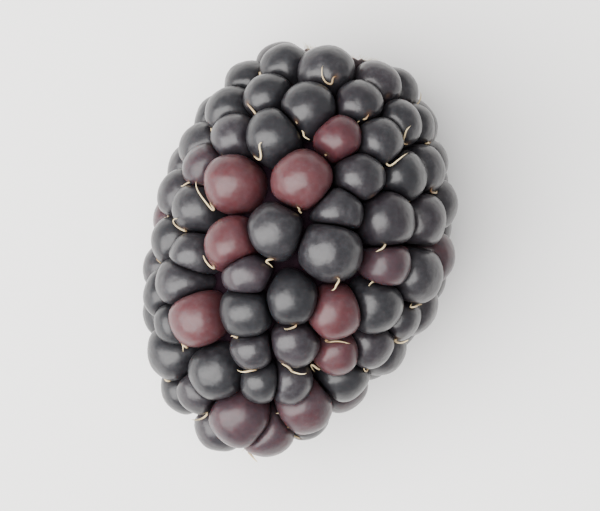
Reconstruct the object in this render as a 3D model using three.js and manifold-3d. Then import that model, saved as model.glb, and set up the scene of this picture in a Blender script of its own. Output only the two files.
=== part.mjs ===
// A picked bramble berry lying on its side, in millimetres. +Y runs along the fruit from its tip to
// its stem end and +Z is up. The origin is on the surface that the fruit rests on, under its middle.

import * as THREE from "three";
import { ConvexHull } from "three/addons/math/ConvexHull.js";
import { mergeVertices } from "three/addons/utils/BufferGeometryUtils.js";
import Module from "manifold-3d";

// The fruit
const BERRY_LENGTH = 38.2; // of the ovoid that the drupelets reach out to
const BERRY_WIDTH = 26.2; // of the same ovoid, across its middle
const TIP_TAPER = 0.25; // how much narrower than an ellipsoid it grows at its tip
const HALF_BEND = 1.2; // how far it bends to one side half way to its tip
const TIP_BEND = 1.1; // and at its tip
const REST_SINK = 0.4; // how far the soft underside sinks in where it rests

// The drupelets: small round fruits packed all over the receptacle
const DRUPELET_COUNT = 126;
const DOME_HEIGHT = 2.62; // from the ovoid of the drupelets' centres out to the fruit's surface
const DOME_STRETCH = 1.15; // a drupelet's length outwards over its width
const CELL_WIDTH = 4.24; // distance between neighbouring drupelets' centres round the middle
const END_TAPER = 0.1; // how much narrower the drupelets at the ends are
const BULGE = 1.15; // a drupelet's own width over that of the cell it is pressed into
const PUSH = 1.06; // how far beyond its cell it pushes its neighbours away, over the cell's width
const SIZE_SPREAD = 0.1; // how much drupelets differ in width, either way
const DEPTH_SPREAD = 0.18; // how much they stand in or out, either way
const NARROW_SINK = 0.5; // how much lower one stands for each bit that its cell is narrower
const TIP_LEAN = 0.16; // how far they lean towards the fruit's tip, as a tangent
const FLESH_HEIGHT = 0.5; // of the flesh between the drupelets, over the ovoid of their centres
const SEED = 15;

// Drupelets of the upper face that stand in places of their own, as across, along and cell width.
// The others are packed round them.
const PLACED = [
  [-7.3, 4.4, 4.4],
  [-1.0, 5.9, 4.5],
  [1.4, 10.1, 3.6],
  [-6.1, -1.0, 4.2],
  [-7.6, -8.0, 4.3],
  [4.1, -4.8, 4.1],
  [5.3, -8.3, 3.4],
  [-2.1, -15.9, 4.7],
  [3.4, -13.8, 4.4],
  [0.5, -16.7, 4.2],
  [7.9, 0.2, 3.7],
  [-2.6, 0.9, 4.2],
  [2.7, 0.3, 4.7],
  [0.2, -4.6, 4.1],
  [-3.4, -6.4, 4.0],
  [1.4, -8.4, 3.7],
  [-5.0, -12.3, 4.3],
  [7.5, 8.1, 4.2],
  [-4.6, 9.2, 4.2],
  [-10.1, 1.6, 3.9],
  [-9.6, -2.8, 3.7],
  [-9.1, -11.5, 4.7],
  [-11.0, -6.6, 4.0],
  [-7.4, -15.2, 4.2],
  [-3.4, -18.2, 4.0],
  [4.1, -16.1, 3.6],
  [-4.2, -3.3, 3.7],
  [-0.9, -12.3, 3.2],
  [-2.2, -9.6, 3.2],
  [1.7, -12.0, 3.3],
];

// The three of the underside that the fruit rests on, in the same way
const RESTING = [
  [-2.6, 2.4, 4.2],
  [2.6, 2.4, 4.2],
  [0, -2.2, 4.2],
];
const REST_FLAT = 0.3; // how far each of them is flattened

// The receptacle: the pale end of the stalk's core, bare where the fruit came off its stem
const RECEPTACLE_RADIUS = 3.3;
const RECEPTACLE_DEPTH = 3.2; // how deep it is modelled below its rim
const RECEPTACLE_TAPER = 0.86; // its width down there over that at the rim
const RIM_HEIGHT = 0.2; // how far its rim stands over the ovoid of the drupelets' centres
const RIM_ROUND = 0.45; // radius of the rim's edge
const DISH_DEPTH = 0.7; // how far its end dips inside the rim
const NUB_RADIUS = 0.9; // of the stub of torn strands in the middle of the dish
const NUB_HEIGHT = 0.5;
const FIT_GAP = 0.3; // clearance between the receptacle and its socket

// Mesh fineness
const DOME_RINGS = [0.36, 0.7]; // rings of a drupelet, as shares of the way from its tip to its edge
const RECEPTACLE_SIDES = 28;
const PROFILE_STEPS = 4; // on each round stretch of the receptacle's profile
const HALVINGS = 20; // of the way between two drupelets, in the search for their crease

const SEAT_HALF_WIDTH = BERRY_WIDTH / 2 - DOME_HEIGHT;
const SEAT_HALF_LENGTH = BERRY_LENGTH / 2 - DOME_HEIGHT;
const LIFT = BERRY_WIDTH / 2 - REST_SINK;
const GOLDEN_ANGLE = Math.PI * (3 - Math.sqrt(5));
const RIM_Y = SEAT_HALF_LENGTH + RIM_HEIGHT;

const wasm = await Module();
wasm.setup();

// Random numbers from 0 to 1, the same on every run.
function randomFrom(seed) {
  let state = seed;
  return () => {
    state = (state + 0x6d2b79f5) >>> 0;
    let mixed = Math.imul(state ^ (state >>> 15), state | 1);
    mixed ^= mixed + Math.imul(mixed ^ (mixed >>> 7), mixed | 61);
    return ((mixed ^ (mixed >>> 14)) >>> 0) / 4294967296;
  };
}

// ---- The ovoid that the drupelets' centres lie on

// Its width over that of an ellipsoid, at a share of the way from the middle to an end.
function girthAt(y) {
  return 1 - TIP_TAPER * Math.min(0, y) ** 2;
}

// How far aside its middle lies there, on a cubic curve through both bends.
function bendAt(y) {
  const share = Math.min(0, y);
  return share ** 2 * (TIP_BEND * (1 + 2 * share) - 8 * HALF_BEND * (1 + share));
}

// Its point in a direction, or that of the same ovoid raised outwards.
function ovoidPoint(direction, raised = 0) {
  const round = (SEAT_HALF_WIDTH + raised) * girthAt(direction.y);
  return new THREE.Vector3(
    round * direction.x + bendAt(direction.y),
    (SEAT_HALF_LENGTH + raised) * direction.y,
    round * direction.z,
  );
}

// The direction whose point is nearest to a given one.
function ovoidDirection(point, raised = 0) {
  const y = point.y / (SEAT_HALF_LENGTH + raised);
  const round = (SEAT_HALF_WIDTH + raised) * girthAt(y);
  return new THREE.Vector3((point.x - bendAt(y)) / round, y, point.z / round).normalize();
}

function ovoidNormal(direction) {
  return new THREE.Vector3(
    direction.x / SEAT_HALF_WIDTH,
    direction.y / SEAT_HALF_LENGTH,
    direction.z / SEAT_HALF_WIDTH,
  ).normalize();
}

// The ray that runs out through the ovoid in a direction, nearly square to it.
function outwardRay(direction) {
  const along = (SEAT_HALF_LENGTH - SEAT_HALF_WIDTH) * direction.y;
  const foot = new THREE.Vector3(bendAt(direction.y), along, 0);
  return new THREE.Ray(foot, ovoidPoint(direction).sub(foot).normalize());
}

// Its place on a ball onto which the ovoid spreads without changing its angles.
function onBall(direction) {
  const rise = ovoidNormal(direction).y;
  const slender = Math.sqrt((SEAT_HALF_LENGTH / SEAT_HALF_WIDTH) ** 2 - 1);
  const y = Math.tanh(Math.atanh(rise) + slender * Math.atan(slender * rise));
  return direction.clone().setY(0).setLength(Math.sqrt(1 - y * y)).setY(y);
}

// ---- Where the drupelets stand

// The direction of a drupelet of the upper face, or of the underside if it rests, from how far
// across and along the fruit it shows.
function faceDirection(across, along, rests) {
  const shown = DOME_HEIGHT / 2;
  const level = ovoidDirection(new THREE.Vector3(across, along, 0), shown);
  const edge = ovoidPoint(level, shown);
  const share = Math.min(1, Math.hypot(across, along) / Math.hypot(edge.x, edge.y));
  level.multiplyScalar(share);
  return level.setZ((rests ? -1 : 1) * Math.sqrt(1 - share * share));
}

// Cells spaced round the ovoid on a golden-angle spiral, some of them moved to places of their own.
function startingCells(random) {
  const cells = [];
  for (let i = 0; i < DRUPELET_COUNT; i++) {
    const y = 1 - (2 * i + 1) / DRUPELET_COUNT;
    const round = Math.sqrt(1 - y * y);
    const turn = i * GOLDEN_ANGLE;
    cells.push({
      direction: new THREE.Vector3(round * Math.cos(turn), y, round * Math.sin(turn)),
      width: CELL_WIDTH * (1 - END_TAPER * y * y) * (1 + SIZE_SPREAD * (2 * random() - 1)),
      fixed: false,
      rests: false,
    });
  }
  for (const list of [PLACED, RESTING])
    for (const [across, along, width] of list) {
      const rests = list === RESTING;
      const place = faceDirection(across, along, rests);
      const free = cells.filter((cell) => !cell.fixed);
      free.sort((a, b) => a.direction.distanceTo(place) - b.direction.distanceTo(place));
      Object.assign(free[0], { direction: place, width, fixed: true, rests });
    }
  return cells;
}

// Lets crowded neighbours push each other along the ovoid until they are evenly packed.
function settle(cells, rounds = 240, give = 0.4) {
  for (let round = 0; round < rounds; round++) {
    const points = cells.map((cell) => ovoidPoint(cell.direction));
    const moves = cells.map(() => new THREE.Vector3());
    for (let i = 0; i < cells.length; i++)
      for (let j = i + 1; j < cells.length; j++) {
        const apart = points[j].clone().sub(points[i]);
        const crowding = (PUSH * (cells[i].width + cells[j].width)) / 2 - apart.length();
        if (crowding <= 0) continue;
        apart.setLength(crowding * give);
        moves[i].sub(apart);
        moves[j].add(apart);
      }
    cells.forEach((cell, i) => {
      if (!cell.fixed) cell.direction = ovoidDirection(points[i].add(moves[i]));
    });
  }
}

// A drupelet is an egg: a ball stretched along the way that it points.
function drupeletOf({ direction, width, rests }, random) {
  const normal = ovoidNormal(direction);
  const toTip = new THREE.Vector3(0, -1, 0).addScaledVector(normal, normal.y);
  const outward = normal.clone().addScaledVector(toTip, TIP_LEAN).normalize();
  const radius = (width * BULGE) / 2;
  const reach = radius * DOME_STRETCH;
  const depth = DOME_HEIGHT - reach + NARROW_SINK * (width - CELL_WIDTH);
  const uneven = DEPTH_SPREAD * (2 * random() - 1);
  const centre = ovoidPoint(direction).addScaledVector(normal, depth + uneven);
  const drop = Math.hypot(radius * Math.hypot(outward.x, outward.y), reach * outward.z);
  if (rests) centre.setZ(drop - REST_FLAT - LIFT);
  return { direction, centre, outward, radius, reach };
}

function packDrupelets() {
  const random = randomFrom(SEED);
  const cells = startingCells(random);
  const stem = { direction: new THREE.Vector3(0, 1, 0), width: 2 * RECEPTACLE_RADIUS, fixed: true };
  settle([...cells, stem]);
  return cells.map((cell) => drupeletOf(cell, random));
}

// The bare flesh round the stem end, which closes the ring of drupelets there.
const STEM_END = {
  direction: new THREE.Vector3(0, 1, 0),
  centre: new THREE.Vector3(0, SEAT_HALF_LENGTH, 0),
  radius: RECEPTACLE_RADIUS,
};

// ---- The skin over the drupelets

// A direction seen from an egg's centre, in the egg's own measure, where its skin is a unit ball.
function inEgg(vector, { outward, radius, reach }) {
  const along = vector.dot(outward);
  return vector.clone().addScaledVector(outward, -along).divideScalar(radius)
    .addScaledVector(outward, along / reach);
}

function outOfEgg(vector, { outward, radius, reach }) {
  const along = vector.dot(outward);
  return vector.clone().addScaledVector(outward, -along).multiplyScalar(radius)
    .addScaledVector(outward, along * reach);
}

// How far along a ray the flesh lies.
function fleshHeight(direction, ray) {
  return ovoidPoint(direction, FLESH_HEIGHT).distanceTo(ray.origin);
}

// How far along a ray a drupelet's skin lies, or nothing if the ray misses it.
function skinHeight(cell, direction, ray) {
  if (cell === STEM_END) return fleshHeight(direction, ray);
  const from = inEgg(ray.origin.clone().sub(cell.centre), cell);
  const to = inEgg(ray.direction, cell);
  const a = to.lengthSq();
  const b = from.dot(to);
  const inside = b * b - a * (from.lengthSq() - 1);
  return inside < 0 ? -Infinity : (Math.sqrt(inside) - b) / a;
}

// The point of the skin in a direction, where some drupelets meet.
function skinPoint(direction, cells) {
  const ray = outwardRay(direction);
  const heights = cells.map((cell) => skinHeight(cell, direction, ray));
  return ray.at(Math.max(fleshHeight(direction, ray), ...heights), new THREE.Vector3());
}

// The top of the crease between two neighbours, where both are equally high.
function creaseTop(a, b) {
  let [low, high] = [0, 1];
  const direction = new THREE.Vector3();
  for (let halving = 0; halving < HALVINGS; halving++) {
    const share = (low + high) / 2;
    direction.lerpVectors(a.direction, b.direction, share).normalize();
    const ray = outwardRay(direction);
    if (skinHeight(a, direction, ray) > skinHeight(b, direction, ray)) low = share;
    else high = share;
  }
  return skinPoint(direction, [a, b]);
}

// The pit between three neighbours, over the point that is equally near to all their skins.
function creasePit(a, b, c) {
  const ab = b.centre.clone().sub(a.centre);
  const ac = c.centre.clone().sub(a.centre);
  const toB = (ab.lengthSq() + a.radius ** 2 - b.radius ** 2) / 2;
  const toC = (ac.lengthSq() + a.radius ** 2 - c.radius ** 2) / 2;
  const cross = ab.dot(ac);
  const spread = ab.lengthSq() * ac.lengthSq() - cross ** 2;
  const point = a.centre.clone()
    .addScaledVector(ab, (toB * ac.lengthSq() - toC * cross) / spread)
    .addScaledVector(ac, (toC * ab.lengthSq() - toB * cross) / spread);
  return skinPoint(ovoidDirection(point), [a, b, c]);
}

function tipOf(cell) {
  if (cell === STEM_END) return skinPoint(cell.direction, [cell]);
  return outOfEgg(cell.outward, cell).add(cell.centre);
}

// The points of a cell's skin from its tip towards one point of its edge.
function spoke(cell, edge) {
  if (cell === STEM_END) return DOME_RINGS.map((share) => tipOf(cell).lerp(edge, share));
  const outer = inEgg(edge.clone().sub(cell.centre), cell).normalize();
  const angle = outer.angleTo(cell.outward);
  return DOME_RINGS.map((share) => {
    const turned = cell.outward.clone().multiplyScalar(Math.sin((1 - share) * angle))
      .addScaledVector(outer, Math.sin(share * angle))
      .divideScalar(Math.sin(angle));
    return outOfEgg(turned, cell).add(cell.centre);
  });
}

// For each cell, the way round its neighbours: where a, b and c meet, the map of a leads from b to c.
function turnsRound(cells) {
  const owners = new Map(cells.map((cell, i) => [onBall(cell.direction), i]));
  const turns = cells.map(() => new Map());
  for (const face of new ConvexHull().setFromPoints([...owners.keys()]).faces) {
    const three = [0, 1, 2].map((k) => owners.get(face.getEdge(k).head().point));
    three.forEach((a, k) => turns[a].set(three[(k + 1) % 3], three[(k + 2) % 3]));
  }
  return turns;
}

// The closed skin over all the drupelets: each is a fan from its tip to its edge, whose points it
// shares with its neighbours.
function skinGeometry(drupelets) {
  const cells = [...drupelets, STEM_END];
  const points = [];
  const corners = [];
  const addPoint = (point) => points.push(point) - 1;
  const known = new Map();
  const shared = (owners, make) => {
    const sorted = owners.sort((a, b) => a - b);
    const key = sorted.join();
    if (!known.has(key)) known.set(key, addPoint(make(...sorted.map((i) => cells[i]))));
    return known.get(key);
  };
  const addBand = (inner, outer) => {
    inner.forEach((from, k) => {
      const next = (k + 1) % inner.length;
      corners.push(from, outer[k], outer[next]);
      corners.push(from, outer[next], inner[next]);
    });
  };

  turnsRound(cells).forEach((turns, a) => {
    const edge = [];
    for (const [b, c] of inOrder(turns))
      edge.push(shared([a, b], creaseTop), shared([a, b, c], creasePit));
    const spokes = edge.map((at) => spoke(cells[a], points[at]).map(addPoint));
    const rings = [...DOME_RINGS.map((_, ring) => spokes.map((one) => one[ring])), edge];
    const tip = addPoint(tipOf(cells[a]));
    rings[0].forEach((from, k) => corners.push(tip, from, rings[0][(k + 1) % edge.length]));
    for (let ring = 1; ring < rings.length; ring++) addBand(rings[ring - 1], rings[ring]);
  });
  return new THREE.BufferGeometry().setFromPoints(points).setIndex(corners);
}

// The steps once round a cell, each from one neighbour to the next.
function inOrder(turns) {
  const steps = [];
  let [from] = turns.keys();
  while (steps.length < turns.size) {
    steps.push([from, turns.get(from)]);
    from = turns.get(from);
  }
  return steps;
}

// ---- The receptacle

// Its end: a rounded rim, a dish inside it, and a stub of torn strands in the middle.
function receptacleGeometry() {
  const bottom = RIM_Y - RECEPTACLE_DEPTH;
  const lip = RECEPTACLE_RADIUS - RIM_ROUND;
  return turned([
    [0, bottom],
    [RECEPTACLE_RADIUS * RECEPTACLE_TAPER, bottom],
    ...steps((share) => bend(share, lip, RIM_Y - RIM_ROUND, RIM_ROUND, RIM_ROUND)),
    ...steps((share) => [
      lip + (NUB_RADIUS - lip) * share,
      RIM_Y - (DISH_DEPTH * (1 - Math.cos(Math.PI * share))) / 2,
    ]).slice(1, -1),
    ...steps((share) => bend(share, 0, RIM_Y - DISH_DEPTH, NUB_RADIUS, NUB_HEIGHT)),
  ]);
}

// The socket in the flesh that holds the receptacle with a small gap all round.
function socketGeometry() {
  const bottom = RIM_Y - RECEPTACLE_DEPTH - FIT_GAP;
  const radius = RECEPTACLE_RADIUS + FIT_GAP;
  return turned([
    [0, bottom],
    [RECEPTACLE_RADIUS * RECEPTACLE_TAPER + FIT_GAP, bottom],
    [radius, RIM_Y - RIM_ROUND],
    [radius, BERRY_LENGTH],
    [0, BERRY_LENGTH],
  ]);
}

function steps(at) {
  return Array.from({ length: PROFILE_STEPS + 1 }, (_, k) => at(k / PROFILE_STEPS));
}

// A point of a quarter turn from the side of an oval to its top.
function bend(share, x, y, width, height) {
  const angle = (share * Math.PI) / 2;
  return [x + width * Math.cos(angle), y + height * Math.sin(angle)];
}

function turned(profile) {
  const points = profile.map(([x, y]) => new THREE.Vector2(x, y));
  return new THREE.LatheGeometry(points, RECEPTACLE_SIDES);
}

// ---- Solids

function solidOf(geometry) {
  const bare = geometry.clone();
  bare.deleteAttribute("normal");
  bare.deleteAttribute("uv");
  const { index, attributes } = mergeVertices(bare, 1e-4);
  const corners = [];
  for (let i = 0; i < index.count; i += 3) {
    const three = [index.getX(i), index.getX(i + 1), index.getX(i + 2)];
    if (new Set(three).size === 3) corners.push(...three);
  }
  return new wasm.Manifold(
    new wasm.Mesh({
      numProp: 3,
      vertProperties: attributes.position.array,
      triVerts: new Uint32Array(corners),
    }),
  );
}

function geometryOf(solid) {
  const { vertProperties, triVerts } = solid.getMesh();
  return new THREE.BufferGeometry()
    .setAttribute("position", new THREE.BufferAttribute(vertProperties, 3))
    .setIndex(new THREE.BufferAttribute(triVerts, 1));
}

const drupelets = packDrupelets();
const cluster = solidOf(skinGeometry(drupelets))
  .subtract(solidOf(socketGeometry()))
  .trimByPlane([0, 0, 1], -LIFT);

const drupeletMesh = new THREE.Mesh(
  geometryOf(cluster),
  new THREE.MeshStandardMaterial({ color: 0x1d1519, roughness: 0.35, metalness: 0 }),
);
drupeletMesh.name = "drupelets";

const receptacleMesh = new THREE.Mesh(
  receptacleGeometry(),
  new THREE.MeshStandardMaterial({ color: 0xc9c79a, roughness: 0.8, metalness: 0 }),
);
receptacleMesh.name = "receptacle";

// The fruit stands on the surface with its middle over the origin.
const berry = new THREE.Group();
berry.add(drupeletMesh, receptacleMesh);
const middle = new THREE.Box3().setFromObject(berry).getCenter(new THREE.Vector3());
berry.position.set(-middle.x, -middle.y, LIFT);

export default berry;
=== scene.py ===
import math
from dataclasses import dataclass

import bmesh
import bpy
import numpy as np
from mathutils import Matrix, Vector, noise


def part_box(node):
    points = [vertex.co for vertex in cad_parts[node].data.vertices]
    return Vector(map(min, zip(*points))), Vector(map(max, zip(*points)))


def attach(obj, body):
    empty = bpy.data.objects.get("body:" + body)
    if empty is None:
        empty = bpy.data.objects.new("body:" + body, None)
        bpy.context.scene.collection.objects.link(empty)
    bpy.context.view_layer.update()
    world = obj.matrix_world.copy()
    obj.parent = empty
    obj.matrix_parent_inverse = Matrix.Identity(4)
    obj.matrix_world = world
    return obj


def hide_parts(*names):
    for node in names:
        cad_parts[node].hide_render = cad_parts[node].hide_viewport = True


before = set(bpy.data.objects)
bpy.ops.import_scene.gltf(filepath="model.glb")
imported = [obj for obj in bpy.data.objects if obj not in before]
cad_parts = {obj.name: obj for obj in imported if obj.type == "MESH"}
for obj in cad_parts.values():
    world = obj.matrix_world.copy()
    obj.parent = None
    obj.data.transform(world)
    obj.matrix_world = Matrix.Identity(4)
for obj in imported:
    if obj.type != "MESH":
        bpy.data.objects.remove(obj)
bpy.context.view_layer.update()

# A picked bramble berry lying on its side. Lengths are in metres; MM turns millimetres into them.
# +Y runs along the fruit from its tip to its stem end and +Z is up, as in the frame.

MM = 0.001

# ---- The fruit's driving sizes, the same as in the part's own source

BERRY_LENGTH = 38.2 * MM  # of the ovoid that the drupelets reach out to
BERRY_WIDTH = 26.2 * MM
TIP_TAPER = 0.25  # how much narrower than an ellipsoid it grows at its tip
HALF_BEND = 1.2 * MM  # how far it bends to one side half way to its tip
TIP_BEND = 1.1 * MM  # and at its tip
REST_SINK = 0.4 * MM  # how far the soft underside sinks in where it rests

DRUPELET_COUNT = 126
DOME_HEIGHT = 2.62 * MM  # from the ovoid of the drupelets' centres out to the fruit's surface
DOME_STRETCH = 1.15  # a drupelet's length outwards over its width
CELL_WIDTH = 4.24 * MM  # distance between neighbouring drupelets' centres round the middle
END_TAPER = 0.1  # how much narrower the drupelets at the ends are
BULGE = 1.15  # a drupelet's own width over that of the cell it is pressed into
PUSH = 1.06  # how far beyond its cell it pushes its neighbours away, over the cell's width
SIZE_SPREAD = 0.1  # how much drupelets differ in width, either way
DEPTH_SPREAD = 0.18 * MM  # how much they stand in or out, either way
NARROW_SINK = 0.5  # how much lower one stands for each bit that its cell is narrower
TIP_LEAN = 0.16  # how far they lean towards the fruit's tip, as a tangent
SEED = 15
SETTLE_ROUNDS = 240
SETTLE_GIVE = 0.4  # the share of their crowding that neighbours give way by in a round

# Drupelets of the upper face that stand in places of their own, as across, along and cell width in
# millimetres, and how red they still are, from 0, ripe, to 1.
PLACED = [
    (-7.3, 4.4, 4.4, 0.95),
    (-1.0, 5.9, 4.5, 1.0),
    (1.4, 10.1, 3.6, 0.85),
    (-6.1, -1.0, 4.2, 0.95),
    (-7.6, -8.0, 4.3, 1.0),
    (4.1, -4.8, 4.1, 0.9),
    (5.3, -8.3, 3.4, 0.8),
    (-2.1, -15.9, 4.7, 0.5),
    (3.4, -13.8, 4.4, 0.55),
    (0.5, -16.7, 4.2, 0.45),
    (7.9, 0.2, 3.7, 0.5),
    (-2.6, 0.9, 4.2, 0.0),
    (2.7, 0.3, 4.7, 0.0),
    (0.2, -4.6, 4.1, 0.0),
    (-3.4, -6.4, 4.0, 0.0),
    (1.4, -8.4, 3.7, 0.1),
    (-5.0, -12.3, 4.3, 0.0),
    (7.5, 8.1, 4.2, 0.0),
    (-4.6, 9.2, 4.2, 0.05),
    (-10.1, 1.6, 3.9, 0.0),
    (-9.6, -2.8, 3.7, 0.0),
    (-9.1, -11.5, 4.7, 0.0),
    (-11.0, -6.6, 4.0, 0.0),
    (-7.4, -15.2, 4.2, 0.0),
    (-3.4, -18.2, 4.0, 0.1),
    (4.1, -16.1, 3.6, 0.05),
    (-4.2, -3.3, 3.7, 0.2),
    (-0.9, -12.3, 3.2, 0.0),
    (-2.2, -9.6, 3.2, 0.0),
    (1.7, -12.0, 3.3, 0.05),
]

# The three of the underside that the fruit rests on, in the same way.
RESTING = [
    (-2.6, 2.4, 4.2, 0.0),
    (2.6, 2.4, 4.2, 0.0),
    (0.0, -2.2, 4.2, 0.15),
]
REST_FLAT = 0.3 * MM  # how far each of them is flattened

RECEPTACLE_RADIUS = 3.3 * MM
RECEPTACLE_DEPTH = 3.2 * MM  # how deep it is modelled below its rim
RECEPTACLE_TAPER = 0.86  # its width down there over that at the rim
RIM_HEIGHT = 0.2 * MM  # how far its rim stands over the ovoid of the drupelets' centres
RIM_ROUND = 0.45 * MM  # radius of the rim's edge
DISH_DEPTH = 0.7 * MM  # how far its end dips inside the rim
NUB_RADIUS = 0.9 * MM  # of the stub of torn strands in the middle of the dish
NUB_HEIGHT = 0.5 * MM
FIT_GAP = 0.3 * MM  # clearance between the receptacle and its socket

SEAT_HALF_WIDTH = BERRY_WIDTH / 2 - DOME_HEIGHT
SEAT_HALF_LENGTH = BERRY_LENGTH / 2 - DOME_HEIGHT
LIFT = BERRY_WIDTH / 2 - REST_SINK
GOLDEN_ANGLE = math.pi * (3 - math.sqrt(5))
RIM_Y = SEAT_HALF_LENGTH + RIM_HEIGHT

# ---- What only the looks need

BLUSH_SEED = 20
SCAR_SEED = 373
STYLE_SEED = 108
HAIR_SEED = 16

BLUSHED = 0.1  # share of the other drupelets that are still coloured
BLUSH = (0.3, 1.0)  # how red those are
RIPE_TINGE = 0.12  # how red the ripe ones are at most
# Some of the others that blush too, as across, along and redness
SIDE_BLUSH = [(11.7, 3.2, 0.5), (-9.5, 6.4, 0.35), (6.8, -11.2, 0.3)]
RED_FROM = 0.25  # the redness from which a drupelet counts as unripe

GROWTH = 1.1  # how much wider the drupelets swell than the solids they stand for
FIRMNESS = 9  # how flat drupelets press against each other: higher leaves sharper edges
WALL_GAP = 0.05 * MM  # between two that press
WOBBLE = 0.05  # how far a drupelet is from round, over its radius
WOBBLE_SIZE = 0.8  # of its lumps, over the radius
DRUPELET_SEGMENTS = 32
DRUPELET_RINGS = 20
RING_CROWDING = 0.34  # how much closer a drupelet's rings lie round its scar
SCAR_RADIUS = 0.2 * MM  # of the dimple where the style grew
SCAR_DEPTH = 0.12 * MM
SCAR_LIP = 0.3  # height of the lip round it, over its depth
LIP_AT = 1.6  # how far from its middle the lip lies, over its radius
LIP_SPREAD = 0.6
SCAR_TILT = (0.665, 1.235)  # how far it leans from the top towards the fruit's tip, in radians
SCAR_SWING = 0.7  # and to either side

STYLED = 0.9  # share of the drupelets that still hold their dry style
STYLE_LENGTH = (0.8 * MM, 2.2 * MM)
STYLE_WIDTH = 0.2 * MM
STYLE_TAPER = 0.15
STYLE_SPREAD = 1.3  # how far it may head aside from the way to the fruit's tip, in radians
STYLE_CURL = 1.8  # how far it turns aside along its length
CURL_DELAY = 2.5  # how late it turns: at 1 it would turn evenly
STYLE_KINK = 0.8  # how far it wavers
STYLE_WAVES = 5.0  # the angle that the wavering runs through
STYLE_RISE = (0.18 * MM, 0.72 * MM)  # how far its end stands off the fruit
STYLE_SUNK = 0.3  # how high its middle lies over the skin at its root, over its width
STYLE_SEGMENTS = 6
STYLE_RINGS = 20
NEAR_CENTRE = 0.3  # a point inside this share of a drupelet isn't moved all the way out of it

FLESH_RAISED = -1.3 * MM  # height of the flesh between the drupelets, over the ovoid of their centres
FLESH_STEPS = 40
FLESH_SEGMENTS = 64
SOCKET_DEPTH = 3.6 * MM

RECEPTACLE_SEGMENTS = 96
RIM_STEPS = 6
DISH_STEPS = 14
DISH_SLOPE = 1.6  # how soon the dish reaches its depth
FIBRE_HEIGHT = 0.12 * MM
FIBRE_RAYS = 9.0  # how closely the fibres' rays follow each other
RAY_CHANGE = 1.5  # how much a ray changes from the middle to the rim
FIBRES_LOW = 0.3  # the fibres' height in the middle, over their full height
FIBRES_RISE = 3.0  # how steeply it grows from there, outwards
LUMP_SIZE = 0.6 * MM
TEAR_SIZE = 0.22 * MM
TEAR_HEIGHT = 1.5  # of the torn strands, over the fibres' height
TEAR_SPREAD = 0.4545  # of the torn strands round the middle, over the radius
HAIR_COUNT = 90
HAIR_LENGTH = (0.35 * MM, 0.77 * MM)
HAIR_WIDTH = 0.045 * MM
HAIR_TAPER = 0.7
HAIR_BEND = 0.28 * MM
HAIR_ROOT = (0.2, 1.4)  # how far inside the rim it stands, over the rim's rounding
HAIR_SUNK = 0.1 * MM
HAIR_LEAN = (-0.1, 0.5)  # how far it leans outwards, as a tangent
HAIR_SWING = 0.5  # and to either side
HAIR_LIFT = 0.01  # how far its bend points up, as a tangent
HAIR_SEGMENTS = 4
HAIR_RINGS = 8

# How the skin's redness, its darkening in creases (partly painted shade), its waxy bloom with painted
# sheen, and its dents go into its colour and relief
PATCHINESS = 1.8  # how much the patches of redness differ
PATCHES_RIPE = 0.04  # how much of them a ripe drupelet has
PATCHES_UNRIPE = 1.3  # the redness at which they would be as faint again
TONE_SPREAD = 0.12  # how much drupelets differ in redness
CREASE_SHADE = 3.0  # how soon the skin darkens towards a crease: partly painted shade, partly the darker purple at a drupelet's foot
SCAR_STAIN = 0.8
# The grey lift in patches: partly a waxy bloom, partly painted sheen
BLOOM_AND_SHEEN_CONTRAST = 3.0
BLOOM_AND_SHEEN_LEAST = 0.25
BLOOM_AND_SHEEN_SPREAD = 0.6  # how much more of it the dullest drupelet has
DENT_RELIEF = 0.07  # in millimetres
GRAIN_RELIEF = 0.009

FLOOR_REACH = 2.0  # from the fruit to the floor's edge
FLOOR_DROP = MM / 100  # of the floor below what the fruit rests on

CAMERA_TURN = math.radians(12)
CAMERA_HEIGHT = 440 * MM
CAMERA_LENS = 300  # focal length, in the camera's own millimetres

SOCKET_RADIUS = RECEPTACLE_RADIUS + FIT_GAP / 3  # the skin closes in on the receptacle
NEIGHBOUR_REACH = 1.7 * CELL_WIDTH  # how far apart two drupelets can still touch
NO_THREAD_WAY = np.array([0.31, 0.17, 0.94])  # a direction that no thread runs along
THREAD_STEP = 0.01  # the share of a thread, either way, that its direction is taken over
GOLDEN_SHARE = 0.618  # the step from one thread's tone to the next, which spreads them evenly
TINY = MM / 1000

MASK = 0xFFFFFFFF
WEYL_STEP = 0x6D2B79F5


def random_from(seed):
    """Random numbers from 0 to 1, by the rule of the part's own source."""
    state = seed

    def draw():
        nonlocal state
        state = (state + WEYL_STEP) & MASK
        mixed = ((state ^ (state >> 15)) * (state | 1)) & MASK
        mixed ^= (mixed + (((mixed ^ (mixed >> 7)) * (mixed | 61)) & MASK)) & MASK
        return (mixed ^ (mixed >> 14)) / (MASK + 1)

    return draw


def between(low, high, random):
    return low + (high - low) * random()


def unit(vectors):
    return vectors / np.linalg.norm(vectors, axis=-1, keepdims=True)


# ---- The ovoid that the drupelets' centres lie on, about the fruit's own axis


def girth_at(share):
    """Its width over that of an ellipsoid, at a share of the way from the middle to an end."""
    return 1 - TIP_TAPER * np.minimum(0, share) ** 2


def bend_at(share):
    """How far aside its middle lies there, on a cubic curve through both bends."""
    share = np.minimum(0, share)
    return share**2 * (TIP_BEND * (1 + 2 * share) - 8 * HALF_BEND * (1 + share))


def ovoid_point(direction, raised=0.0):
    """Its point in a direction, or that of the same ovoid raised outwards."""
    share = direction[..., 1]
    widths = (SEAT_HALF_WIDTH + raised) * girth_at(share)
    across = widths * direction[..., 0] + bend_at(share)
    along = (SEAT_HALF_LENGTH + raised) * share
    return np.stack([across, along, widths * direction[..., 2]], axis=-1)


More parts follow.
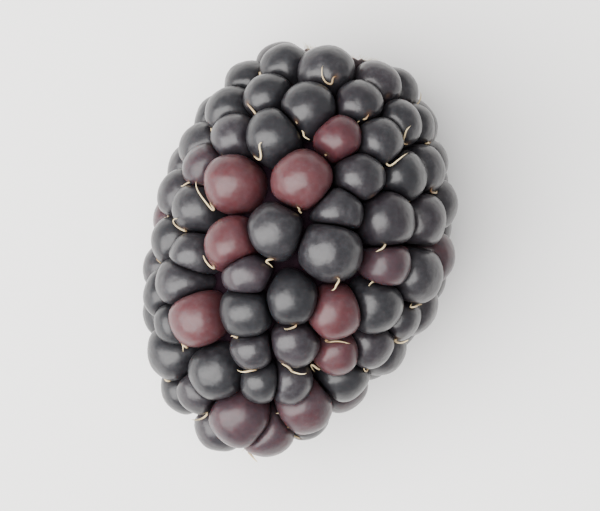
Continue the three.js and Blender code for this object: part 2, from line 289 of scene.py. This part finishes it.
def ovoid_direction(point, raised=0.0):
    """The direction whose point is nearest to a given one."""
    share = point[..., 1] / (SEAT_HALF_LENGTH + raised)
    widths = (SEAT_HALF_WIDTH + raised) * girth_at(share)
    across = (point[..., 0] - bend_at(share)) / widths
    return unit(np.stack([across, share, point[..., 2] / widths], axis=-1))


def ovoid_normal(direction):
    """The way that runs out through the ovoid in a direction, nearly square to it."""
    return unit(direction / np.array([SEAT_HALF_WIDTH, SEAT_HALF_LENGTH, SEAT_HALF_WIDTH]))


# ---- Where the drupelets stand


@dataclass
class Drupelet:
    """An egg about its centre, stretched along the way that it points."""

    centre: np.ndarray
    axes: np.ndarray  # sideways, towards the fruit's tip, and outward
    radius: float
    reach: float
    redness: float
    scar: np.ndarray  # rows that turn a ball's pole to where its style grew


def face_direction(across, along, rests=False):
    """The direction of a drupelet that shows so far across and along the upper face, or the underside."""
    shown = DOME_HEIGHT / 2
    level = ovoid_direction(np.array([across, along, 0.0]), shown)
    edge = ovoid_point(level, shown)
    share = min(1.0, math.hypot(across, along) / math.hypot(edge[0], edge[1]))
    level = level * share
    level[2] = (-1 if rests else 1) * math.sqrt(1 - share * share)
    return level


def starting_cells(random):
    """Cells on a golden-angle spiral round the ovoid, some of them moved to places of their own."""
    directions, widths, redness, fixed, rests = [], [], [], [], []
    for i in range(DRUPELET_COUNT):
        y = 1 - (2 * i + 1) / DRUPELET_COUNT
        width = math.sqrt(1 - y * y)
        turn = i * GOLDEN_ANGLE
        directions.append(np.array([width * math.cos(turn), y, width * math.sin(turn)]))
        widths.append(CELL_WIDTH * (1 - END_TAPER * y * y) * (1 + SIZE_SPREAD * (2 * random() - 1)))
        redness.append(None)
        fixed.append(False)
        rests.append(False)
    for places in (PLACED, RESTING):
        for across, along, width, red in places:
            place = face_direction(across * MM, along * MM, places is RESTING)
            free = [i for i in range(DRUPELET_COUNT) if not fixed[i]]
            nearest = min(free, key=lambda i: np.linalg.norm(directions[i] - place))
            directions[nearest] = place
            widths[nearest] = width * MM
            redness[nearest] = red
            fixed[nearest] = True
            rests[nearest] = places is RESTING
    return np.array(directions), np.array(widths), redness, np.array(fixed), rests


def settle(directions, widths, fixed):
    """Lets crowded neighbours, and the receptacle's end, push each other until they are evenly packed."""
    directions = np.vstack([directions, [0, 1, 0]])
    widths = np.append(widths, 2 * RECEPTACLE_RADIUS)
    free = ~np.append(fixed, True)
    wanted = PUSH * (widths[:, None] + widths[None, :]) / 2
    for _ in range(SETTLE_ROUNDS):
        points = ovoid_point(directions)
        apart = points[None] - points[:, None]
        distance = np.linalg.norm(apart, axis=2)
        np.fill_diagonal(distance, np.inf)
        crowding = np.maximum(0, wanted - distance) * SETTLE_GIVE
        moves = -(apart * (crowding / distance)[..., None]).sum(axis=1)
        directions[free] = ovoid_direction(points + moves)[free]
    return directions[:-1]


def drupelet_of(direction, width, rests, redness, random, scar_random):
    """The drupelet that grows in a cell. One that rests reaches just below what it lies on."""
    normal = ovoid_normal(direction)
    to_tip = np.array([0.0, -1.0, 0.0]) + normal * normal[1]
    outward = unit(normal + to_tip * TIP_LEAN)
    forward = unit(to_tip - outward * (to_tip @ outward))
    radius = width * BULGE / 2
    reach = radius * DOME_STRETCH
    depth = DOME_HEIGHT - reach + NARROW_SINK * (width - CELL_WIDTH)
    depth += DEPTH_SPREAD * (2 * random() - 1)
    centre = ovoid_point(direction) + normal * depth
    if rests:
        drop = math.hypot(radius * math.hypot(outward[0], outward[1]), reach * outward[2])
        centre[2] = drop - REST_FLAT - LIFT
    axes = np.array([np.cross(forward, outward), forward, outward])
    return Drupelet(centre, axes, radius * GROWTH, reach, redness, scar_axes(scar_random))


def scar_axes(random):
    """The rows that turn a ball's pole to a drupelet's scar, which leans towards the fruit's tip."""
    tilt = between(*SCAR_TILT, random)
    swing = between(-SCAR_SWING, SCAR_SWING, random)
    pole = [math.sin(tilt) * math.sin(swing), math.sin(tilt) * math.cos(swing), math.cos(tilt)]
    side = unit(np.cross([0.0, 1.0, 0.0], pole))
    return np.array([side, np.cross(pole, side), pole])


def blushes(directions, redness):
    """How red each drupelet is: the placed ones as given, and some of the others here and there."""
    random = random_from(BLUSH_SEED)
    levels = []
    for red in redness:
        draw, amount = random(), random()
        if red is not None:
            levels.append(red)
        elif draw < BLUSHED:
            levels.append(BLUSH[0] + (BLUSH[1] - BLUSH[0]) * amount)
        else:
            levels.append(RIPE_TINGE * amount**3)
    for across, along, red in SIDE_BLUSH:
        place = face_direction(across * MM, along * MM)
        levels[int(np.argmin(np.linalg.norm(directions - place, axis=1)))] = red
    return levels


def pack_drupelets():
    """All the drupelets, about the middle of the ovoid and where the part's own source has them."""
    random = random_from(SEED)
    directions, widths, redness, fixed, rests = starting_cells(random)
    directions = settle(directions, widths, fixed)
    levels = blushes(directions, redness)
    scar_random = random_from(SCAR_SEED)
    cells = zip(directions, widths, rests, levels)
    return [drupelet_of(*cell, random, scar_random) for cell in cells]


def fruit_middle():
    """The middle of the ovoid in the frame, on the axis of the receptacle's rim."""
    low, high = (Vector(corner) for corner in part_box("receptacle"))
    return np.array([(low.x + high.x) / 2, high.y - RIM_Y, (low.z + high.z) / 2])


MIDDLE = fruit_middle()

# ---- Pieces


def make_piece(bm, name, material, node=None, marks=None):
    """Makes a smooth piece that rides on the fruit's one body, with its marks as attributes."""
    for face in bm.faces:
        face.smooth = True
    mesh = bpy.data.meshes.new(name)
    bm.to_mesh(mesh)
    bm.free()
    for mark, values in (marks or {}).items():
        layer = mesh.attributes.new(mark, "FLOAT", "POINT")
        layer.data.foreach_set("value", np.ascontiguousarray(values, np.float32))
    mesh.materials.append(material)
    piece = bpy.data.objects.new(name, mesh)
    bpy.context.collection.objects.link(piece)
    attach(piece, "root")
    if node:
        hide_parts(node)
    return piece


def copies_of_ball(segments, rings, count):
    """So many copies of one closed ball, and where the vertices of one of them are."""
    ball = bmesh.new()
    bmesh.ops.create_uvsphere(ball, u_segments=segments, v_segments=rings, radius=1)
    spots = np.array([vert.co[:] for vert in ball.verts])
    mesh = bpy.data.meshes.new("ball")
    ball.to_mesh(mesh)
    ball.free()
    bm = bmesh.new()
    for _ in range(count):
        bm.from_mesh(mesh)
    bpy.data.meshes.remove(mesh)
    return bm, spots


def set_places(bm, places):
    """Moves the vertices to their places about the fruit's middle, and none below what it lies on."""
    places = places + MIDDLE
    places[:, 2] = np.maximum(places[:, 2], 0)
    for vert, place in zip(bm.verts, places):
        vert.co = place


# ---- The drupelets


def skin_offsets(one, spots):
    """Where a ball's spots, about the scar, fall on a drupelet, from its centre."""
    return (spots @ one.scar * [one.radius, one.radius, one.reach]) @ one.axes


def fullness(one, offsets, drupelets):
    """How full a drupelet is along each of its offsets, from what its neighbours leave it."""
    squeeze = np.ones(len(offsets))
    for other in drupelets:
        way = other.centre - one.centre
        distance = np.linalg.norm(way)
        if 0 < distance < NEIGHBOUR_REACH:
            wall = (distance**2 + one.radius**2 - other.radius**2) / (2 * distance) - WALL_GAP / 2
            squeeze += np.maximum(0, offsets @ way / (distance * wall)) ** FIRMNESS
    return squeeze ** (-1 / FIRMNESS)


def clear_of_receptacle(places):
    """Moves what would cut into the receptacle out to the side of its socket."""
    out = np.hypot(places[:, 0], places[:, 2])
    inside = (places[:, 1] > RIM_Y - SOCKET_DEPTH) & (out < SOCKET_RADIUS)
    share = np.where(inside, SOCKET_RADIUS / np.maximum(out, TINY), 1)
    return places * np.column_stack([share, np.ones(len(places)), share])


def make_drupelets(chosen, drupelets, name, material):
    """Closed taut skins, each pressed flat against its neighbours and dented at its scar."""
    random = random_from(SEED + len(chosen))
    bm, ball = copies_of_ball(DRUPELET_SEGMENTS, DRUPELET_RINGS, len(chosen))
    polar = np.arccos(np.clip(ball[:, 2], -1, 1))
    crowded = polar * (1 - RING_CROWDING * (1 - (polar / math.pi) ** 2))
    around = np.arctan2(ball[:, 1], ball[:, 0])
    spots = np.column_stack(
        [np.sin(crowded) * np.cos(around), np.sin(crowded) * np.sin(around), np.cos(crowded)]
    )
    places = []
    marks = {"redness": [], "crease": [], "scar": [], "tone": []}
    for one in chosen:
        offsets = skin_offsets(one, spots)
        full = fullness(one, offsets, drupelets)
        from_scar = crowded * one.radius / SCAR_RADIUS
        dent = np.exp(-(from_scar**2))
        lip = SCAR_LIP * np.exp(-(((from_scar - LIP_AT) / LIP_SPREAD) ** 2))
        shift = Vector([100 * random() for _ in range(3)])
        swell = np.array([noise.noise(Vector(spot) / WOBBLE_SIZE + shift) for spot in spots])
        lengths = np.linalg.norm(offsets, axis=1)
        swollen = full * (1 + WOBBLE * swell) + SCAR_DEPTH * (lip - dent) / lengths
        places.append(clear_of_receptacle(one.centre + offsets * swollen[:, None]))
        marks["redness"].append(np.full(len(spots), one.redness))
        # How far into a crease each point lies; the skin is painted darker there, partly as shade.
        marks["crease"].append(1 - full)
        marks["scar"].append(dent)
        marks["tone"].append(np.full(len(spots), random()))
    set_places(bm, np.concatenate(places))
    marks = {mark: np.concatenate(values) for mark, values in marks.items()}
    make_piece(bm, name, material, "drupelets", marks)


# ---- Threads: the dry styles and the receptacle's hairs


def make_threads(paths, form, name, material):
    """Closed threads along paths, each a function from shares of its length to points."""
    width, taper, segments, rings = form
    bm, ball = copies_of_ball(segments, rings, len(paths))
    share = np.arccos(np.clip(ball[:, 2], -1, 1)) / math.pi
    around = np.arctan2(ball[:, 1], ball[:, 0])
    thick = width / 2 * np.sqrt(np.sin(share * math.pi)) * (1 - taper * share)
    places = []
    marks = {"along": [], "tone": []}
    for index, path in enumerate(paths):
        middle = path(share)
        ahead = unit(path(share + THREAD_STEP) - path(share - THREAD_STEP))
        side = unit(np.cross(ahead, NO_THREAD_WAY))
        up = np.cross(side, ahead)
        ring = np.cos(around)[:, None] * side + np.sin(around)[:, None] * up
        places.append(middle + ring * thick[:, None])
        marks["along"].append(share)
        marks["tone"].append(np.full(len(share), (index * GOLDEN_SHARE) % 1))
    set_places(bm, np.concatenate(places))
    marks = {mark: np.concatenate(values) for mark, values in marks.items()}
    make_piece(bm, name, material, marks=marks)


def style_path(one, drupelets, random):
    """A curling way from a drupelet's scar down its side, which then lifts off it."""
    length = between(*STYLE_LENGTH, random)
    heading = math.pi / 2 + between(-STYLE_SPREAD, STYLE_SPREAD, random)
    curl = between(-STYLE_CURL, STYLE_CURL, random)
    kink = between(0, STYLE_KINK, random)
    phase = between(0, 2 * math.pi, random)
    rise = between(*STYLE_RISE, random)

    def path(shares):
        along = np.maximum(shares, 0)
        turned = heading + curl * along**CURL_DELAY
        turned += kink * np.sin(STYLE_WAVES * shares + phase)
        angle = length / one.radius * shares
        spots = np.column_stack(
            [np.sin(angle) * np.cos(turned), np.sin(angle) * np.sin(turned), np.cos(angle)]
        )
        offsets = skin_offsets(one, spots)
        full = fullness(one, offsets, drupelets)
        lift = STYLE_WIDTH * STYLE_SUNK + rise * along**2
        points = one.centre + offsets * full[:, None] + unit(offsets) * lift[:, None]
        for other in drupelets:
            if 0 < np.linalg.norm(other.centre - one.centre) < NEIGHBOUR_REACH:
                points = moved_out(points, other)
        return points

    return path


def moved_out(points, one):
    """The points, with those inside a drupelet moved straight out of it."""
    offsets = points - one.centre
    depth = np.linalg.norm(offsets @ one.axes.T / [one.radius, one.radius, one.reach], axis=1)
    out = np.where(depth < 1, 1 / np.maximum(depth, NEAR_CENTRE), 1)
    return one.centre + offsets * out[:, None]


def make_styles(drupelets, material):
    """The dry straw-brown styles, on most of the drupelets."""
    random = random_from(STYLE_SEED)
    paths = [style_path(one, drupelets, random) for one in drupelets if random() < STYLED]
    form = (STYLE_WIDTH, STYLE_TAPER, STYLE_SEGMENTS, STYLE_RINGS)
    make_threads(paths, form, "styles", material)


# ---- The flesh and the receptacle, both spun about the fruit's axis


def spun(profile, segments):
    """A closed body of the profile's (out, along) points, which start and end on the axis."""
    bm = bmesh.new()
    verts = [bm.verts.new((out, along, 0)) for out, along in profile]
    edges = [bm.edges.new(pair) for pair in zip(verts, verts[1:])]
    bmesh.ops.spin(
        bm,
        geom=verts + edges,
        cent=(0, 0, 0),
        axis=(0, 1, 0),
        angle=2 * math.pi,
        steps=segments,
        use_merge=True,
    )
    bmesh.ops.remove_doubles(bm, verts=bm.verts, dist=TINY)
    bmesh.ops.recalc_face_normals(bm, faces=bm.faces)
    return bm


def make_flesh(material):
    """The juicy core that shows deep between the drupelets, with a socket for the receptacle."""
    profile = []
    for step in range(FLESH_STEPS + 1):
        slope = -math.pi / 2 + math.pi * step / FLESH_STEPS
        along = math.sin(slope)
        direction = np.array([math.cos(slope) if step else 0.0, along, 0.0])
        out = ovoid_point(direction, FLESH_RAISED)[0] - bend_at(along)
        if along < 0 or out > SOCKET_RADIUS:
            profile.append((out, along * (SEAT_HALF_LENGTH + FLESH_RAISED)))
    floor = RIM_Y - SOCKET_DEPTH
    profile += [(SOCKET_RADIUS, profile[-1][1]), (SOCKET_RADIUS, floor), (0.0, floor)]
    bm = spun(profile, FLESH_SEGMENTS)
    places = np.array([vert.co[:] for vert in bm.verts])
    places[:, 0] += bend_at(places[:, 1] / SEAT_HALF_LENGTH)
    set_places(bm, places)
    make_piece(bm, "flesh", material, "drupelets")


def make_receptacle(material):
    """The torn pale end of the core: a rounded rim, a shallow dish and a nub where it broke off."""
    foot = RIM_Y - RECEPTACLE_DEPTH
    profile = [(0.0, foot), (RECEPTACLE_RADIUS * RECEPTACLE_TAPER, foot)]
    for step in range(RIM_STEPS + 1):
        turn = math.pi / 2 * step / RIM_STEPS
        out = RECEPTACLE_RADIUS - RIM_ROUND * (1 - math.cos(turn))
        profile.append((out, RIM_Y - RIM_ROUND * (1 - math.sin(turn))))
    dish = RECEPTACLE_RADIUS - RIM_ROUND
    for step in range(1, DISH_STEPS + 1):
        out = dish * (1 - step / DISH_STEPS)
        sink = DISH_DEPTH * math.sin(math.pi / 2 * min(1.0, DISH_SLOPE * step / DISH_STEPS))
        nub = NUB_HEIGHT * math.exp(-((out / NUB_RADIUS) ** 2))
        profile.append((out, RIM_Y - sink + nub))
    bm = spun(profile, RECEPTACLE_SEGMENTS)
    places = np.array([vert.co[:] for vert in bm.verts])
    out = np.hypot(places[:, 0], places[:, 2]) / RECEPTACLE_RADIUS
    for place, share in zip(places, out):
        if place[1] > RIM_Y - DISH_DEPTH - RIM_ROUND:
            place[1] += FIBRE_HEIGHT * fibres(place, share)
    set_places(bm, places)
    make_piece(bm, "receptacle_end", material, "receptacle", {"out": out})


def fibres(place, out):
    """How high the torn fibres stand at a place so far out from the middle: about -1 to 1."""
    turn = math.atan2(place[2], place[0])
    ray = Vector((FIBRE_RAYS * math.cos(turn), FIBRE_RAYS * math.sin(turn), RAY_CHANGE * out))
    lumps = noise.noise(Vector(place) / LUMP_SIZE)
    torn = noise.noise(Vector(place) / TEAR_SIZE) * math.exp(-((out / TEAR_SPREAD) ** 2))
    height = noise.noise(ray) + lumps + TEAR_HEIGHT * torn
    return height * min(1, FIBRES_RISE * out + FIBRES_LOW)


def hair_path(turn, random):
    """A short hair's way up from the receptacle's rim, bending over as it leans."""
    outwards = np.array([math.cos(turn), 0.0, math.sin(turn)])
    sideways = np.array([-math.sin(turn), 0.0, math.cos(turn)])
    up = np.array([0.0, 1.0, 0.0])
    out = RECEPTACLE_RADIUS - RIM_ROUND * between(*HAIR_ROOT, random)
    foot = outwards * out + up * (RIM_Y - HAIR_SUNK)
    lean = outwards * between(*HAIR_LEAN, random)
    lean += sideways * between(-HAIR_SWING, HAIR_SWING, random)
    way = unit(up + lean) * between(*HAIR_LENGTH, random)
    bend = unit(lean + up * HAIR_LIFT) * HAIR_BEND

    def path(shares):
        return foot + shares[:, None] * way + (np.maximum(shares, 0) ** 2)[:, None] * bend

    return path


def make_hairs(material):
    """The short hairs that stand round the receptacle's rim."""
    random = random_from(HAIR_SEED)
    paths = []
    for i in range(HAIR_COUNT):
        turn = 2 * math.pi * (i + random()) / HAIR_COUNT
        paths.append(hair_path(turn, random))
    form = (HAIR_WIDTH, HAIR_TAPER, HAIR_SEGMENTS, HAIR_RINGS)
    make_threads(paths, form, "receptacle_hairs", material)


# ---- Materials


class Value:
    """A socket whose sums and products add Math nodes."""

    def __init__(self, paint, socket):
        self.paint = paint
        self.socket = socket

    def math(self, operation, first, second):
        settings = {"operation": operation}
        return self.paint.node("ShaderNodeMath", settings, {0: first, 1: second})

    def __add__(self, other):
        return self.math("ADD", self, other)

    def __sub__(self, other):
        return self.math("SUBTRACT", self, other)

    def __rsub__(self, other):
        return self.math("SUBTRACT", other, self)

    def __mul__(self, other):
        return self.math("MULTIPLY", self, other)

    def __pow__(self, other):
        return self.math("POWER", self, other)

    __radd__ = __add__
    __rmul__ = __mul__


class Paint:
    """A material whose nodes are added as they are asked for."""

    def __init__(self, name):
        self.material = bpy.data.materials.new(name)
        self.material.use_nodes = True
        self.tree = self.material.node_tree
        self.tree.nodes.clear()

    def node(self, kind, settings=None, feeds=None, output=0):
        made = self.tree.nodes.new(kind)
        for name, value in (settings or {}).items():
            if name == "stops":
                self.set_stops(made.color_ramp.elements, value)
            else:
                setattr(made, name, value)
        for name, value in (feeds or {}).items():
            if isinstance(value, Value):
                self.tree.links.new(value.socket, made.inputs[name])
            else:
                made.inputs[name].default_value = value
        return Value(self, made.outputs[output]) if made.outputs else None

    @staticmethod
    def set_stops(elements, stops):
        while len(elements) < len(stops):
            elements.new(1)
        for element, (position, colour) in zip(elements, stops):
            element.position = position
            element.color = colour

    def mark(self, name):
        return self.node("ShaderNodeAttribute", {"attribute_name": name}, output="Fac")

    def noise(self, size, detail=2.0, roughness=0.5):
        """Soft noise whose lumps are about so large."""
        where = self.node("ShaderNodeTexCoord", output="Object")
        feeds = {"Vector": where, "Scale": 1 / size, "Detail": detail, "Roughness": roughness}
        return self.node("ShaderNodeTexNoise", feeds=feeds)

    def ramp(self, value, *stops):
        return self.node("ShaderNodeValToRGB", {"stops": stops}, {"Fac": value})

    def blend(self, share, first, second, kind="MIX"):
        settings = {"data_type": "RGBA", "blend_type": kind, "clamp_factor": True}
        return self.node("ShaderNodeMix", settings, {0: share, 6: first, 7: second}, output=2)

    def bump(self, height, distance, strength):
        feeds = {"Height": height, "Distance": distance, "Strength": strength}
        return self.node("ShaderNodeBump", feeds=feeds)

    def finish(self, feeds):
        skin = self.node("ShaderNodeBsdfPrincipled", feeds=feeds)
        self.node("ShaderNodeOutputMaterial", feeds={"Surface": skin})
        return self.material


def colour(red, green, blue):
    return (red, green, blue, 1.0)


def drupelet_skin(name, glow, gloss):
    """Taut glossy skin, from purple-black to rose-red as far as each drupelet is red, darker towards its
    creases partly as painted shade, and lifted grey in patches by waxy bloom and painted sheen.
    """
    paint = Paint(name)
    redness = paint.mark("redness")
    tone = paint.mark("tone")
    patches = paint.noise(1.8 * MM, detail=3.0, roughness=0.6)
    uneven = PATCHES_RIPE + redness * (PATCHES_UNRIPE - redness)
    hue = paint.ramp(
        redness + uneven * (patches - 0.5) * PATCHINESS + (tone - 0.5) * TONE_SPREAD,
        (0.0, colour(0.008, 0.008, 0.010)),
        (0.2, colour(0.014, 0.009, 0.013)),
        (0.5, colour(0.038, 0.019, 0.024)),
        (0.8, colour(0.046, 0.012, 0.016)),
        (1.0, colour(0.062, 0.016, 0.019)),
    )
    # Darker towards the creases: partly painted shade, partly the darker purple at a drupelet's foot.
    deep = paint.blend(1.0, hue, colour(0.45, 0.30, 0.36), "MULTIPLY")
    hue = paint.blend(paint.mark("crease") * CREASE_SHADE, hue, deep)
    scar = paint.mark("scar")
    hue = paint.blend(scar * SCAR_STAIN, hue, colour(0.07, 0.035, 0.018))
    # A grey lift in patches: partly a faint waxy bloom, partly painted sheen. The same patches also
    # roughen the skin.
    bloom_and_sheen_patches = paint.noise(0.7 * MM, detail=4.0, roughness=0.7)
    bloom_and_painted_sheen = bloom_and_sheen_patches**BLOOM_AND_SHEEN_CONTRAST * (BLOOM_AND_SHEEN_LEAST + BLOOM_AND_SHEEN_SPREAD * tone)
    hue = paint.blend(bloom_and_painted_sheen, hue, colour(0.090, 0.086, 0.094))
    dents = paint.noise(0.9 * MM, detail=1.0)
    grain = paint.noise(0.16 * MM)
    return paint.finish(
        {
            "Base Color": hue,
            "Roughness": 0.20 + 0.34 * bloom_and_sheen_patches + 0.2 * scar,
            "Specular IOR Level": gloss,
            "Coat Weight": 0.08,
            "Coat Roughness": 0.15,
            "Subsurface Weight": glow,
            "Subsurface Radius": (1.0, 0.22, 0.16),
            "Subsurface Scale": 1.1 * MM,
            "Normal": paint.bump(DENT_RELIEF * dents + GRAIN_RELIEF * grain, MM, 1.0),
        }
    )


def flesh_in_painted_shade():
    """Near-black flesh with a wine tint, darkened as painted shade for the deep gaps between the
    drupelets.
    """
    paint = Paint("flesh in painted shade")
    lumps = paint.noise(0.9 * MM, detail=3.0)
    # The near-black colour is painted shade of the gaps, with a hint of wine.
    hue = paint.ramp(lumps, (0.3, colour(0.004, 0.002, 0.004)), (0.7, colour(0.010, 0.004, 0.007)))
    return paint.finish(
        {
            "Base Color": hue,
            "Roughness": 0.6 + 0.2 * lumps,
            "Specular IOR Level": 0.03,
            "Normal": paint.bump(lumps, 0.3 * MM, 0.8),
        }
    )


def torn_flesh():
    """Pale fibrous flesh, greener in the middle and stained with juice at its edge."""
    paint = Paint("torn flesh")
    out = paint.mark("out")
    lumps = paint.noise(0.8 * MM, detail=4.0)
    hue = paint.ramp(
        out + (lumps - 0.5) * 0.35,
        (0.0, colour(0.22, 0.20, 0.08)),
        (0.3, colour(0.42, 0.40, 0.20)),
        (0.7, colour(0.52, 0.44, 0.27)),
        (0.85, colour(0.26, 0.14, 0.11)),
        (0.95, colour(0.020, 0.008, 0.012)),
    )
    strands = paint.noise(0.25 * MM, detail=4.0)
    hue = paint.blend(strands * 0.6, hue, colour(0.55, 0.42, 0.24), "MULTIPLY")
    return paint.finish(
        {
            "Base Color": hue,
            "Roughness": 0.55 + 0.3 * strands,
            "Subsurface Weight": 0.2,
            "Subsurface Radius": (1.0, 0.7, 0.4),
            "Subsurface Scale": 0.8 * MM,
            "Normal": paint.bump(strands, 0.15 * MM, 0.7),
        }
    )


def dry_thread(name, root, end):
    """Dry straw, from its root's colour to its end's."""
    paint = Paint(name)
    mottle = paint.noise(0.5 * MM)
    hue = paint.ramp(
        paint.mark("along") * 0.6 + paint.mark("tone") * 0.4 + (mottle - 0.5) * 0.5,
        (0.1, root),
        (0.8, end),
    )
    return paint.finish({"Base Color": hue, "Roughness": 0.45 + 0.2 * mottle})


# ---- Floor, light and camera


def add_softbox(name, place, size, power, tint):
    """A lamp that faces the fruit from its place."""
    light = bpy.data.lights.new(name, "AREA")
    light.shape = "RECTANGLE"
    light.size, light.size_y = size
    light.energy = power
    light.color = tint
    lamp = bpy.data.objects.new(name, light)
    lamp.location = place
    lamp.rotation_mode = "QUATERNION"
    lamp.rotation_quaternion = Vector(place).to_track_quat("Z", "Y")
    bpy.context.collection.objects.link(lamp)


def make_studio():
    """An even pale sky, one softbox above to the left, and a pale floor."""
    world = bpy.data.worlds.new("studio")
    world.use_nodes = True
    sky = world.node_tree.nodes["Background"]
    sky.inputs["Color"].default_value = colour(0.98, 0.98, 0.99)
    sky.inputs["Strength"].default_value = 0.8
    bpy.context.scene.world = world
    add_softbox(
        "overhead",
        place=(-0.28, -0.16, 0.47),
        size=(0.6, 0.95),
        power=19.5,
        tint=(1.0, 0.985, 0.97),
    )

    bm = bmesh.new()
    bmesh.ops.create_grid(bm, x_segments=1, y_segments=1, size=FLOOR_REACH)
    bmesh.ops.translate(bm, verts=bm.verts, vec=(0, 0, -FLOOR_DROP))
    mesh = bpy.data.meshes.new("floor")
    bm.to_mesh(mesh)
    bm.free()
    floor_feeds = {"Base Color": colour(0.815, 0.81, 0.80), "Roughness": 0.6}
    mesh.materials.append(Paint("floor").finish(floor_feeds))
    floor = bpy.data.objects.new("floor", mesh)
    bpy.context.collection.objects.link(floor)


def make_camera():
    """Looks straight down, turned so that the stem end lies a little to the right of the top."""
    data = bpy.data.cameras.new("camera")
    data.lens = CAMERA_LENS
    camera = bpy.data.objects.new("camera", data)
    turn = Matrix.Rotation(CAMERA_TURN, 4, "Z")
    camera.matrix_world = Matrix.Translation((0, 0, CAMERA_HEIGHT)) @ turn
    bpy.context.collection.objects.link(camera)
    bpy.context.scene.camera = camera


drupelets = pack_drupelets()
ripe = [one for one in drupelets if one.redness < RED_FROM]
unripe = [one for one in drupelets if one.redness >= RED_FROM]
ripe_skin = drupelet_skin("ripe skin", glow=0.06, gloss=0.37)
unripe_skin = drupelet_skin("unripe skin", glow=0.35, gloss=0.28)
dry_style = dry_thread("dry style", root=colour(0.16, 0.08, 0.03), end=colour(0.64, 0.52, 0.30))
pale_hair = dry_thread("pale hair", root=colour(0.45, 0.36, 0.20), end=colour(0.70, 0.62, 0.42))

make_drupelets(ripe, drupelets, "ripe_drupelets", ripe_skin)
make_drupelets(unripe, drupelets, "unripe_drupelets", unripe_skin)
make_styles(drupelets, dry_style)
make_flesh(flesh_in_painted_shade())
make_receptacle(torn_flesh())
make_hairs(pale_hair)
make_studio()
make_camera()
